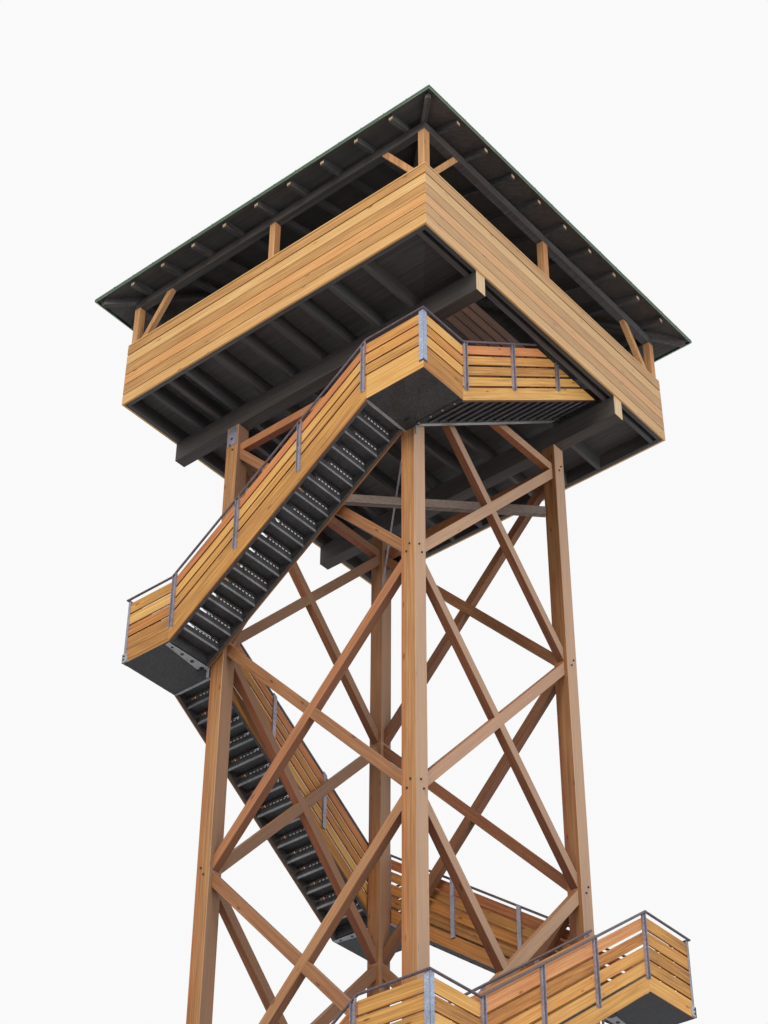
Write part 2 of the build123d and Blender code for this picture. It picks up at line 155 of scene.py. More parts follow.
# Braces, bolts and straps on the legs
CROSSING_STEP = 0.002
TIE_HALF_WIDTH = 0.066
LEG_BOLT_RISES = (-0.055, 0.075)
LEG_BOLT_MARGIN = 0.1
LEG_BOLT_PLACE = 0.012
LEG_BOLT_HEAD = 0.020
STRAP_WALL = 0.008
STRAP_BOLT_RADIUS = 0.022
STRAP_BOLT_HEAD = 0.016
STRAP_BOLT_DROP = 0.30
STRAP_HALF_WIDTH = 0.12
STRAP_HALF_TOP = 0.06
STRAP_LEVELS = (-0.46, -0.10, -0.004)

# Sawn ends, the fold of the eaves trim and the seams of the roof
END_WALL = 0.004
RAFTER_END_SHARES = (0.25, 0.4)
FOLD_GAP = 0.001
FOLD_WIDTH = 0.012
FOLD_HEIGHT = 0.014
SEAM_SPACING = 0.515
SEAM_WIDTH = 0.014
SEAM_HEIGHT = 0.022
SEAM_EAVES_GAP = 0.004
SEAM_HIP_GAP = 0.06
SEAM_TOP_GAP = 0.12
SEAM_SHORTEST = 0.10

# Shifts of the grain from one timber to the next
GRAIN_SEED = 0.731
GRAIN_SHIFT_ALONG = 7
GRAIN_SHIFT_ACROSS = 3
END_GRAIN_STRETCH = 0.15

# Levels and lines worked out from them
FLIGHT_RISE = RISE * RISERS
FLOOR = FLIGHT_RISE * FLIGHTS
LOWER_KINK = LANDING_EDGE - GOING * RISERS
PITCH = RISE / GOING
LEG_OUTER = LEG_HALF_SPAN + LEG_WIDTH / 2
LEG_INNER = LEG_HALF_SPAN - LEG_WIDTH / 2
OUTER_BOARD_FACE = STAIR_OUTER - BOARD
INNER_BOARD_FACE = LEG_OUTER + INNER_GAP
TREAD_OUTER = OUTER_BOARD_FACE - STRINGER
TREAD_INNER = INNER_BOARD_FACE + BOARD + STRINGER
SOFFIT = FLOOR - CABIN_DECK - JOIST_DEPTH
LEG_TOP = SOFFIT - BEAM_DEPTH
EAVES = SOFFIT + EAVES_HEIGHT
RAIL_CENTRE = HANDRAIL_HEIGHT - HANDRAIL / 2
CENTRE = Vector((-LEG_HALF_SPAN, LEG_HALF_SPAN, 0))


# Places on the tower
def side_of(flight):
    """Side that a flight climbs along: 0 south, 1 east, 2 north, 3 west."""
    return (flight + 1) % 4


def turned(side, along, out, level=0.0):
    """Direction given by its part along a side, outwards and up."""
    return Matrix.Rotation(math.radians(90 * side), 3, "Z") @ Vector((along, -out, level))


def spot(side, along, out, level):
    """Point given by its place along a side, its distance out from the middle and its level."""
    return CENTRE + turned(side, along, out, level)


def clipped(corners, level, above):
    """Outline of (along, level) corners cut off at a level; above says which part stays."""
    sign = 1 if above else -1
    kept = []
    for (a, z), (b, y) in zip(corners, corners[1:] + corners[:1]):
        first, second = sign * (z - level), sign * (y - level)
        if first >= 0:
            kept.append((a, z))
        if first * second < 0:
            kept.append((a + (b - a) * first / (first - second), level))
    return kept


# Mesh building: every timber or bar is a box with its grain along the first UV direction
class Builder:
    def __init__(self, name):
        self.name = name
        self.mesh = bmesh.new()
        self.uv = self.mesh.loops.layers.uv.new("grain")
        self.count = 0

    def prism(self, lower, upper, axis):
        """Solid between two polygons with the same number of corners; axis is the grain's direction."""
        bottom = [self.mesh.verts.new(p) for p in lower]
        top = [self.mesh.verts.new(p) for p in upper]
        faces = [self.mesh.faces.new(reversed(bottom)), self.mesh.faces.new(top)]
        size = len(bottom)
        for i in range(size):
            j = (i + 1) % size
            faces.append(self.mesh.faces.new((bottom[i], bottom[j], top[j], top[i])))
        self.count += 1
        seed = self.count * GRAIN_SEED
        shift_along, shift_across = seed * GRAIN_SHIFT_ALONG, seed * GRAIN_SHIFT_ACROSS
        along = Vector(axis).normalized()
        for face in faces:
            face.normal_update()
            across = along.cross(face.normal)
            if across.length < 0.5:
                across = along.orthogonal()
                second = face.normal.cross(across)
                for loop in face.loops:
                    p = loop.vert.co
                    end_along = p.dot(across) * END_GRAIN_STRETCH
                    loop[self.uv].uv = (end_along + shift_along, p.dot(second) + shift_across)
                continue
            across.normalize()
            for loop in face.loops:
                p = loop.vert.co
                loop[self.uv].uv = (p.dot(along) + shift_along, p.dot(across) + shift_across)

    def box(self, centre, size, turn=None, axis=0):
        """Box of a size about a centre; turn is a 3x3 matrix and axis says which side the grain follows."""
        turn = turn or Matrix.Identity(3)
        half = Vector(size) / 2
        ring = [(-1, -1), (1, -1), (1, 1), (-1, 1)]
        corners = [
            [Vector(centre) + turn @ Vector((a * half.x, b * half.y, c * half.z)) for a, b in ring]
            for c in (-1, 1)
        ]
        self.prism(corners[0], corners[1], turn.col[axis])

    def side_prism(self, side, corners, inner, outer, axis=None):
        """Flat piece drawn as (along, level) corners, between two distances out from the middle."""
        lower = [spot(side, a, inner, z) for a, z in corners]
        upper = [spot(side, a, outer, z) for a, z in corners]
        if axis is None:
            axis = upper[1] - upper[0]
        self.prism(lower, upper, axis)

    def side_box(self, side, along, out, levels, axis=1):
        """Box between two places along a side, two distances out and two levels."""
        (west, east), (inner, outer), (low, high) = along, out, levels
        corners = [(west, low), (east, low), (east, high), (west, high)]
        directions = (turned(side, 1, 0), turned(side, 0, 1), Vector((0, 0, 1)))
        self.side_prism(side, corners, inner, outer, directions[axis])

    def plan_prism(self, side, corners, low, high, axis):
        """Flat piece drawn as (along, out) corners, between two levels."""
        lower = [spot(side, a, out, low) for a, out in corners]
        upper = [spot(side, a, out, high) for a, out in corners]
        self.prism(lower, upper, axis)

    def disc(self, centre, axis, radius, depth, sides=8):
        """Round head or fitting with its middle at a point."""
        axis = Vector(axis).normalized()
        first = axis.orthogonal().normalized()
        second = axis.cross(first)
        ring = []
        for index in range(sides):
            angle = 2 * math.pi * index / sides
            ring.append((first * math.cos(angle) + second * math.sin(angle)) * radius)
        half = axis * depth / 2
        self.prism([centre - half + p for p in ring], [centre + half + p for p in ring], first)

    def finish(self, material, slot, replaces=(), bevel=0.0):
        bmesh.ops.recalc_face_normals(self.mesh, faces=self.mesh.faces)
        data = bpy.data.meshes.new(self.name)
        self.mesh.to_mesh(data)
        self.mesh.free()
        piece = bpy.data.objects.new(self.name, data)
        bpy.context.scene.collection.objects.link(piece)
        data.materials.append(material)
        if bevel:
            rounding = piece.modifiers.new("worn_edges", "BEVEL")
            rounding.width = bevel
            rounding.segments = 1
            rounding.limit_method = "ANGLE"
        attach(piece, "root")
        if replaces:
            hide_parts(*replaces)
        return piece


# Materials
class Shader:
    """Small helper that adds shader nodes and links them."""

    def __init__(self, name):
        self.material = bpy.data.materials.new(name)
        self.material.use_nodes = True
        self.tree = self.material.node_tree
        self.principled = self.tree.nodes["Principled BSDF"]

    def add(self, kind, inputs=None, **settings):
        node = self.tree.nodes.new(kind)
        for key, value in settings.items():
            setattr(node, key, value)
        for key, value in (inputs or {}).items():
            if isinstance(value, bpy.types.NodeSocket):
                self.tree.links.new(value, node.inputs[key])
            else:
                node.inputs[key].default_value = value
        return node

    def maths(self, operation, a, b=0.0, clamp=False):
        return self.add("ShaderNodeMath", {0: a, 1: b}, operation=operation, use_clamp=clamp).outputs[0]

    def vectors(self, operation, a, b=(0, 0, 0)):
        return self.add("ShaderNodeVectorMath", {0: a, 1: b}, operation=operation)

    def ramp(self, value, stops):
        node = self.add("ShaderNodeValToRGB", {"Fac": value})
        elements = node.color_ramp.elements
        while len(elements) < len(stops):
            elements.new(0.5)
        for element, (place, colour) in zip(elements, stops):
            element.position = place
            element.color = (*colour, 1)
        return node.outputs["Color"]

    def mix(self, factor, a, b, blend="MIX"):
        node = self.add("ShaderNodeMix", data_type="RGBA", blend_type=blend)
        for socket, value in ((node.inputs[0], factor), (node.inputs[6], a), (node.inputs[7], b)):
            if isinstance(value, bpy.types.NodeSocket):
                self.tree.links.new(value, socket)
            else:
                socket.default_value = (*value, 1) if isinstance(value, tuple) else value
        return node.outputs[2]

    def noise(self, vector, scale, detail=4.0, roughness=0.55):
        inputs = {"Vector": vector, "Scale": scale, "Detail": detail, "Roughness": roughness}
        return self.add("ShaderNodeTexNoise", inputs).outputs["Fac"]

    def stretch(self, vector, scale, rotation=(0, 0, 0)):
        inputs = {"Vector": vector, "Scale": scale, "Rotation": rotation}
        return self.add("ShaderNodeMapping", inputs).outputs[0]

    def finish(self, colour, roughness, bump=None, strength=0.3, distance=0.002, metallic=0.0):
        links = self.tree.links
        if isinstance(colour, bpy.types.NodeSocket):
            links.new(colour, self.principled.inputs["Base Color"])
        else:
            self.principled.inputs["Base Color"].default_value = (*colour, 1)
        if isinstance(roughness, bpy.types.NodeSocket):
            links.new(roughness, self.principled.inputs["Roughness"])
        else:
            self.principled.inputs["Roughness"].default_value = roughness
        self.principled.inputs["Metallic"].default_value = metallic
        if bump is not None:
            inputs = {"Height": bump, "Strength": strength, "Distance": distance}
            node = self.add("ShaderNodeBump", inputs)
            links.new(node.outputs["Normal"], self.principled.inputs["Normal"])
        return self.material


def grain_by_uv(shader):
    """Grain coordinates of the pieces made here: x along the timber, y across it."""
    return shader.add("ShaderNodeUVMap", uv_map="grain").outputs[0]


def grain_by_axis(shader, axis):
    """Grain coordinates of a CAD piece whose timber runs along one axis."""
    place = shader.add("ShaderNodeTexCoord").outputs["Object"]
    split = shader.add("ShaderNodeSeparateXYZ", {0: place}).outputs
    along = split["XYZ".index(axis)]
    others = [split[i] for i in range(3) if "XYZ"[i] != axis]
    across = shader.maths("ADD", others[0], others[1])
    return shader.add("ShaderNodeCombineXYZ", {0: along, 1: across, 2: others[1]}).outputs[0]


def timber(name, tones, grain, spread=0.35, knots=True, painted_east_light_tone=None, painted_east_light_share=0.5, inner_shade=0.0):
    """Planed larch: long streaks, growth lines, knots and a tone of its own for every board; east faces can
    be painted paler as painted light, and undersides and faces turned to the tower's middle darker as
    painted shade.
    """
    shader = Shader(name)
    place = grain_by_axis(shader, grain) if grain in ("X", "Y", "Z") else grain_by_uv(shader)
    island = shader.add("ShaderNodeNewGeometry").outputs["Random Per Island"]
    streaks = shader.noise(shader.stretch(place, (0.9, 26, 26)), 1.0, 6.0, 0.62)
    lines = shader.noise(shader.stretch(place, (0.35, 90, 90)), 1.0, 3.0, 0.5)
    clouds = shader.noise(shader.stretch(place, (0.8, 2.2, 2.2)), 1.0, 3.0)
    dark, middle, light = tones
    tone = shader.maths("MULTIPLY_ADD", island, spread)
    tone.node.inputs[2].default_value = 0.5 - spread / 2
    mixed = shader.maths("MULTIPLY_ADD", clouds, 0.35)
    first = shader.maths("MULTIPLY_ADD", streaks, 1.25)
    shader.tree.links.new(shader.maths("SUBTRACT", tone, 0.80), first.node.inputs[2])
    shader.tree.links.new(first, mixed.node.inputs[2])
    colour = shader.ramp(mixed, ((0.12, dark), (0.5, middle), (0.88, light)))
    chance = shader.maths("FRACT", shader.maths("MULTIPLY", island, 7.3))
    redder = shader.ramp(chance, ((0.62, (1, 1, 1)), (0.95, (1.0, 0.80, 0.72))))
    colour = shader.mix(0.8, colour, redder, "MULTIPLY")
    line_shade = shader.ramp(lines, ((0.42, (0.72, 0.66, 0.6)), (0.56, (1, 1, 1))))
    colour = shader.mix(0.75, colour, line_shade, "MULTIPLY")
    if knots:
        cells = shader.add(
            "ShaderNodeTexVoronoi", {"Vector": shader.stretch(place, (1.5, 5.5, 5.5)), "Scale": 1.0}
        )
        core = shader.ramp(cells.outputs["Distance"], ((0.05, (0.30, 0.16, 0.09)), (0.12, (1, 1, 1))))
        colour = shader.mix(0.85, colour, core, "MULTIPLY")
    # Painted light: east-facing faces are mixed towards a paler tone, as if that side were lit more.
    if painted_east_light_tone:
        normal = shader.add("ShaderNodeNewGeometry").outputs["Normal"]
        east = shader.add("ShaderNodeSeparateXYZ", {0: normal}).outputs[0]
        east_light_mask = shader.maths("MULTIPLY", shader.maths("MAXIMUM", east, 0.0), 1.0, clamp=True)
        colour = shader.mix(east_light_mask, colour, shader.mix(painted_east_light_share, colour, painted_east_light_tone), "MIX")
    if inner_shade:
        geometry = shader.add("ShaderNodeNewGeometry")
        normal = geometry.outputs["Normal"]
        up = shader.add("ShaderNodeSeparateXYZ", {0: normal}).outputs[2]
        # Painted shade: faces that look down are darkened.
        under = shader.maths("MULTIPLY", up, -1.4, clamp=True)
        colour = shader.mix(under, colour, UNDERSIDE_PAINTED_SHADE, "MULTIPLY")
        # Painted shade: faces turned towards the tower's middle are darkened.
        outward = shader.vectors("SUBTRACT", geometry.outputs["Position"], tuple(CENTRE)).outputs[0]
        outward = shader.vectors("MULTIPLY", outward, (1, 1, 0)).outputs[0]
        outward = shader.vectors("NORMALIZE", outward).outputs[0]
        facing = shader.vectors("DOT_PRODUCT", outward, normal).outputs["Value"]
        inward = shader.maths("MULTIPLY", facing, -1.6, clamp=True)
        colour = shader.mix(shader.maths("MULTIPLY", inward, inner_shade), colour, INWARD_FACE_PAINTED_SHADE, "MULTIPLY")
    rough = shader.maths("MULTIPLY_ADD", streaks, 0.25)
    rough.node.inputs[2].default_value = 0.5
    return shader.finish(colour, rough, lines, 0.25, 0.003)


def zinc(name, dark, light, rough=0.5, metallic=0.6):
    """Hot-dip zinc: mottled grey with faint runs and dull spots."""
    shader = Shader(name)
    place = shader.add("ShaderNodeTexCoord").outputs["Object"]
    spangle = shader.add("ShaderNodeTexVoronoi", {"Vector": place, "Scale": 55.0}).outputs["Color"]
    spangle = shader.add("ShaderNodeSeparateColor", {0: spangle}).outputs[0]
    clouds = shader.noise(place, 3.0, 5.0)
    value = shader.maths("MULTIPLY_ADD", spangle, 0.35)
    shader.tree.links.new(shader.maths("MULTIPLY", clouds, 0.65), value.node.inputs[2])
    colour = shader.ramp(value, ((0.2, dark), (0.75, light)))
    roughness = shader.maths("MULTIPLY_ADD", clouds, 0.3)
    roughness.node.inputs[2].default_value = rough - 0.15
    return shader.finish(colour, roughness, clouds, 0.15, 0.001, metallic)


ORANGE = ((0.30, 0.120, 0.024), (0.64, 0.320, 0.074), (0.80, 0.50, 0.16))
REDDISH = ((0.28, 0.085, 0.026), (0.60, 0.225, 0.070), (0.76, 0.37, 0.15))
CLADDING_TONES = ((0.34, 0.155, 0.045), (0.63, 0.345, 0.11), (0.80, 0.53, 0.23))
LEG = ((0.24, 0.095, 0.030), (0.42, 0.195, 0.066), (0.56, 0.31, 0.13))
BRACE = ((0.22, 0.085, 0.030), (0.38, 0.170, 0.065), (0.52, 0.28, 0.13))
POST = ((0.36, 0.17, 0.065), (0.55, 0.29, 0.12), (0.70, 0.43, 0.21))
SHADED = ((0.040, 0.039, 0.039), (0.072, 0.070, 0.069), (0.115, 0.112, 0.110))
# Near-black brown of the main beams and stringers: painted shade.
PAINTED_SHADE_BROWN = ((0.032, 0.028, 0.026), (0.062, 0.054, 0.050), (0.105, 0.092, 0.084))
# Pale tone of the sawn ends: painted light of their lit faces.
END_FACE_PAINTED_LIGHT = ((0.50, 0.34, 0.18), (0.68, 0.50, 0.30), (0.80, 0.64, 0.44))
# Paler tone mixed into east-facing faces: painted light.
EAST_FACE_PAINTED_LIGHT = (0.49, 0.375, 0.28)
# Darker tone for faces turned to the tower's middle: painted shade.
INWARD_FACE_PAINTED_SHADE = (0.52, 0.42, 0.34)
# Darker tone for faces that look down: painted shade.
UNDERSIDE_PAINTED_SHADE = (0.62, 0.46, 0.38)
# Dark grey-brown of the plan tie: painted shade.
TIE_PAINTED_SHADE = ((0.10, 0.075, 0.060), (0.19, 0.145, 0.12), (0.28, 0.22, 0.19))
PINKISH = ((0.26, 0.15, 0.11), (0.40, 0.26, 0.20), (0.52, 0.37, 0.30))

stair_wood = timber("larch_stair_boards", ORANGE, "uv", 0.5, inner_shade=0.6)
red_wood = timber("larch_stair_top_boards", REDDISH, "uv", 0.4, inner_shade=0.6)
cladding_wood = timber("larch_cladding", CLADDING_TONES, "uv", 0.34, painted_east_light_tone=EAST_FACE_PAINTED_LIGHT, painted_east_light_share=0.3)
leg_wood = timber("larch_leg", LEG, "Z", 0.1, painted_east_light_tone=EAST_FACE_PAINTED_LIGHT, inner_shade=0.8)
brace_wood = timber("larch_brace", BRACE, "uv", 0.3, painted_east_light_tone=EAST_FACE_PAINTED_LIGHT, painted_east_light_share=0.4, inner_shade=0.9)
# Plan tie in a darker grey-brown: painted shade.
shaded_tie_wood = timber("larch_tie_painted_shade", TIE_PAINTED_SHADE, "X", 0.2)
post_wood = timber("larch_post", POST, "Z", 0.2)
# Pale end faces: painted light.
lit_end_wood = timber("larch_end_painted_light", END_FACE_PAINTED_LIGHT, "uv", 0.3, False)
shaded_wood = {axis: timber(f"larch_shaded_{axis.lower()}", SHADED, axis, 0.4, False) for axis in "XY"}
# Main beams and stringers in a near-black tone: painted shade.
shaded_beam_wood = timber("larch_beam_painted_shade", PAINTED_SHADE_BROWN, "X", 0.1, False)
opening_wood = timber("larch_opening_guard", PINKISH, "uv", 0.3, False)
post_zinc = zinc("zinc_posts", (0.20, 0.18, 0.21), (0.42, 0.39, 0.45))
corner_zinc = zinc("zinc_corner_angles", (0.20, 0.23, 0.30), (0.44, 0.50, 0.64))
# Near-black zinc of the tread pans: painted shade of their undersides.
shaded_grating_zinc = zinc("zinc_grating_painted_shade", (0.050, 0.050, 0.051), (0.125, 0.125, 0.127))
edge_zinc = zinc("zinc_tread_edges", (0.22, 0.22, 0.225), (0.44, 0.44, 0.45))
# Pale zinc for the marks in the riser holes: painted light seen through the holes.
painted_light_zinc = zinc("zinc_painted_light", (0.70, 0.70, 0.72), (0.90, 0.90, 0.92), 0.5, 0.1)
# Near-black zinc of the landing decks, frames and soffit plates: painted shade.
shaded_landing_zinc = zinc("zinc_landings_painted_shade", (0.042, 0.042, 0.043), (0.095, 0.096, 0.098))
channel_zinc = zinc("zinc_channels", (0.28, 0.28, 0.29), (0.50, 0.50, 0.52))
# Dark zinc for feet, fittings and bolts; for the holes in the landing strips it is painted shade.
dark_zinc_and_hole_shade = zinc("zinc_dark_and_hole_shade", (0.03, 0.03, 0.032), (0.07, 0.07, 0.073))
rail_paint = zinc("rail_steel", (0.070, 0.052, 0.058), (0.17, 0.13, 0.145), 0.42, 0.5)
roof_green = zinc("roof_sheet_green", (0.018, 0.055, 0.028), (0.05, 0.12, 0.06), 0.5, 0.2)
roof_pale = zinc("roof_trim_inside", (0.34, 0.42, 0.33), (0.50, 0.58, 0.48), 0.5, 0.1)

plain = {
    "cabin_posts": post_wood,
    "floor_joists": shaded_wood["Y"],
    "rim_and_trimmer_joists": shaded_wood["X"],
    "cabin_floor": shaded_wood["X"],
    "main_beam_south": shaded_beam_wood,
    "main_beam_north": shaded_beam_wood,
    "knee_braces": post_wood,
    "roof_boards": shaded_wood["X"],
    "roof_sheet": roof_green,
    "eaves_trim": roof_green,
    "wall_plates": shaded_wood["X"],
    "rafters": shaded_wood["Y"],
    "hip_rafters": shaded_wood["X"],
    "plan_tie": shaded_tie_wood,
    "plan_rod": post_zinc,
    "leg_shoes": channel_zinc,
    "landing_decks": shaded_landing_zinc,
    "landing_frames": shaded_landing_zinc,
    "outer_stringers": shaded_beam_wood,
    "inner_stringers": shaded_beam_wood,
    "stair_treads": shaded_grating_zinc,
    "handrails": rail_paint,
    "guard_posts": post_zinc,
    "opening_guard": opening_wood,
    "opening_guard_posts": post_zinc,
}
for name, node in nodes.items():
    material = plain.get(name, stair_wood)
    if name.startswith("leg_") and name != "leg_shoes":
        material = leg_wood
    if name.startswith("bracing_"):
        material = brace_wood
    if name.startswith("cabin_guard_"):
        material = cladding_wood
    node.data.materials.clear()
    node.data.materials.append(material)


# Boarded guards of the stair: three or four narrow boards over a deep one
def board_rows(count, gap):
    """Drops of each board's top and bottom below the top of the handrail."""
    rows = []
    for row in range(count):
        top = FIRST_BOARD_DROP + row * BOARD_PITCH
        rows.append((top, top + BOARD_PITCH - gap))
    rows.append((FIRST_BOARD_DROP + count * BOARD_PITCH, HANDRAIL_HEIGHT + STRINGER_BELOW))
    return rows


def flight_guards(name, face, node_name):
    boards = Builder(name)
    redder = Builder(f"{name}_top")
    for flight in range(FLIGHTS):
        base = flight * FLIGHT_RISE + HANDRAIL_HEIGHT
        side = side_of(flight)
        for row, (top, bottom) in enumerate(board_rows(3 if side == 0 else 4, FLIGHT_BOARD_GAP)):
            corners = [
                (LOWER_KINK, base - bottom),
                (LANDING_EDGE, base + FLIGHT_RISE - bottom),
                (LANDING_EDGE, base + FLIGHT_RISE - top),
                (LOWER_KINK, base - top),
            ]
            corners = clipped(clipped(corners, 0.0, True), SOFFIT, False)
            if len(corners) > 2:
                rows = boards if row else redder
                rows.side_prism(side, corners, face, face + BOARD, turned(side, GOING, 0, RISE))
    boards.finish(stair_wood, "larch_stair", (node_name,), BOARD_BEVEL)
    redder.finish(red_wood, "larch_stair", (), BOARD_BEVEL)


def landing_guards():
    boards = Builder("landing_boards")
    inside = OUTER_BOARD_FACE
    for flight in range(FLIGHTS - 1):
        level = (flight + 1) * FLIGHT_RISE + HANDRAIL_HEIGHT
        for turn in (0, 1):
            side = side_of(flight) + turn
            start, hand = (LOWER_KINK, -1) if turn else (LANDING_EDGE, 1)
            corner = hand * STAIR_OUTER
            plan = [(start, STAIR_OUTER), (corner, STAIR_OUTER), (hand * inside, inside), (start, inside)]
            four_boards = side_of(flight) == 1 and turn == 0
            for top, bottom in board_rows(4 if four_boards else 3, LANDING_BOARD_GAP):
                boards.plan_prism(side, plan, level - bottom, level - top, turned(side, 1, 0))
    boards.finish(stair_wood, "larch_stair", ("landing_guards",), BOARD_BEVEL)


# Steel channels that hold the guards
def channel(posts, side, place, face, depth, bottom, top):
    west_edge, east_edge = place - CHANNEL_WIDTH / 2, place + CHANNEL_WIDTH / 2
    web = face + CHANNEL_WALL
    parts = (
        (west_edge, east_edge, face, web),
        (west_edge, west_edge + CHANNEL_WALL, web, face + depth),
        (east_edge - CHANNEL_WALL, east_edge, web, face + depth),
    )
    for west, east, inner, outer in parts:
        corners = [
            (west, bottom),
            (east, bottom),
            (east, top + (east - place) * PITCH),
            (west, top + (west - place) * PITCH),
        ]
        corners = clipped(corners, SOFFIT, False)
        posts.side_prism(side, corners, inner, outer, (0, 0, 1))


def guard_channels():
    posts = Builder("guard_channels")
    places = (LOWER_KINK + POST_END_INSET, *POST_PLACES, LANDING_EDGE - POST_END_INSET)
    rail_drop = HANDRAIL / 2 * math.hypot(1, PITCH)
    for flight in range(FLIGHTS):
        for place in places:
            pitch_line = flight * FLIGHT_RISE + (place - LOWER_KINK) * PITCH
            bottom = max(pitch_line, SHOE_HEIGHT)
            if SOFFIT - bottom < HANDRAIL_HEIGHT / 2:
                continue
            side = side_of(flight)
            top = pitch_line + RAIL_CENTRE
            channel(posts, side, place, STAIR_OUTER, CHANNEL_DEPTH, bottom, top - rail_drop)
            channel(posts, side, place, LEG_OUTER, INNER_GAP, bottom, top)
    posts.finish(post_zinc, "galvanised_steel", ("guard_posts",))


# Light steel edge under the inner stringer of the top flight
def top_flight_edge():
    edge = Builder("top_flight_edge")
    base = (FLIGHTS - 1) * FLIGHT_RISE - STRINGER_BELOW
    corners = [
        (LOWER_KINK, base - FLIGHT_EDGE_DEPTH),
        (LANDING_EDGE, base + FLIGHT_RISE - FLIGHT_EDGE_DEPTH),
        (LANDING_EDGE, base + FLIGHT_RISE),
        (LOWER_KINK, base),
    ]
    corners = clipped(corners, SOFFIT, False)
    edge.side_prism(side_of(FLIGHTS - 1), corners, INNER_BOARD_FACE, INNER_BOARD_FACE + BOARD + STRINGER)
    edge.finish(channel_zinc, "galvanised_steel")


# Angles round the landings' outer corners, with a dark foot or a bolted shoe
def corner_plan(hand, reach, wall):
    """Outline of a plate on a side's outer face, from short of the corner to one wall past it."""
    near, far = hand * (STAIR_OUTER - reach), hand * (STAIR_OUTER + wall)
    return [(near, STAIR_OUTER), (far, STAIR_OUTER), (far, STAIR_OUTER + wall), (near, STAIR_OUTER + wall)]


def corner_angles():
    angles = Builder("corner_angles")
    posts = Builder("corner_posts")
    feet = Builder("corner_feet")
    shoes = Builder("corner_shoes")
    upright = (0, 0, 1)
    for flight in range(FLIGHTS - 1):
        level = (flight + 1) * FLIGHT_RISE
        front = side_of(flight) == 0
        width, wall = CORNER_ANGLE if front else CORNER_POST
        for turn in (0, 1):
            side = side_of(flight) + turn
            hand = 1 - 2 * turn
            plan = corner_plan(hand, width, wall)
            uprights = angles if front else posts
            uprights.plan_prism(side, plan, level - CORNER_DROP, level + RAIL_CENTRE - HANDRAIL / 2, upright)
            if front:
                feet.plan_prism(side, plan, level - FOOT_DROP, level - FOOT_TOP_DROP, upright)
                continue
            shoe = corner_plan(hand, 2 * width, 3 * wall)
            under = level - STRINGER_BELOW
            shoes.plan_prism(side, shoe, under + SHOE_LIFT, level - SHOE_DROP, upright)
            for rise in SHOE_BOLT_RISES:
                place = spot(side, hand * (STAIR_OUTER - width / 2), STAIR_OUTER + 4 * wall, under + rise)
                feet.disc(place, turned(side, 0, 1), BOLT_RADIUS, SHOE_BOLT_HEAD)
    angles.finish(corner_zinc, "galvanised_steel")
    posts.finish(post_zinc, "galvanised_steel")
    feet.finish(dark_zinc_and_hole_shade, "galvanised_steel")
    shoes.finish(channel_zinc, "galvanised_steel")


# Underside of the landings: a plate painted dark as shade, strips with bolts or with holes drawn as dark
# discs of painted shade, a fitting beside the leg
def end_strip(strip, marks, side, level, front):
    """Strip where the next flight starts, with a row of bolts at the front corner and of holes elsewhere; a
    hole is a dark disc of painted shade.
    """
    inside = OUTER_BOARD_FACE - STRIP_INSET
    narrow, wide = FRONT_STRIP_ENDS if front else STRIP_ENDS
    outline = [
        (LOWER_KINK - narrow, inside),
        (LOWER_KINK, inside),
        (LOWER_KINK, LEG_OUTER + STRIP_LEG_GAP),
        (LOWER_KINK - wide, LEG_OUTER + STRIP_LEG_GAP),
    ]
    strip.plan_prism(side, outline, level - STRIP_DEPTH, level, turned(side, 0, 1))
    for index in range(STRIP_HOLES):
        share = (index + 0.5) / STRIP_HOLES
        width = wide + (narrow - wide) * share
        out = LEG_OUTER + (inside - LEG_OUTER) * share
        radius = FRONT_BOLT_RADIUS if front else width * STRIP_HOLE_SHARE
        place = spot(side, LOWER_KINK - width / 2, out, level - STRIP_HOLE_DROP)
        marks.disc(place, (0, 0, -1), radius, STRIP_HOLE_DEPTH)


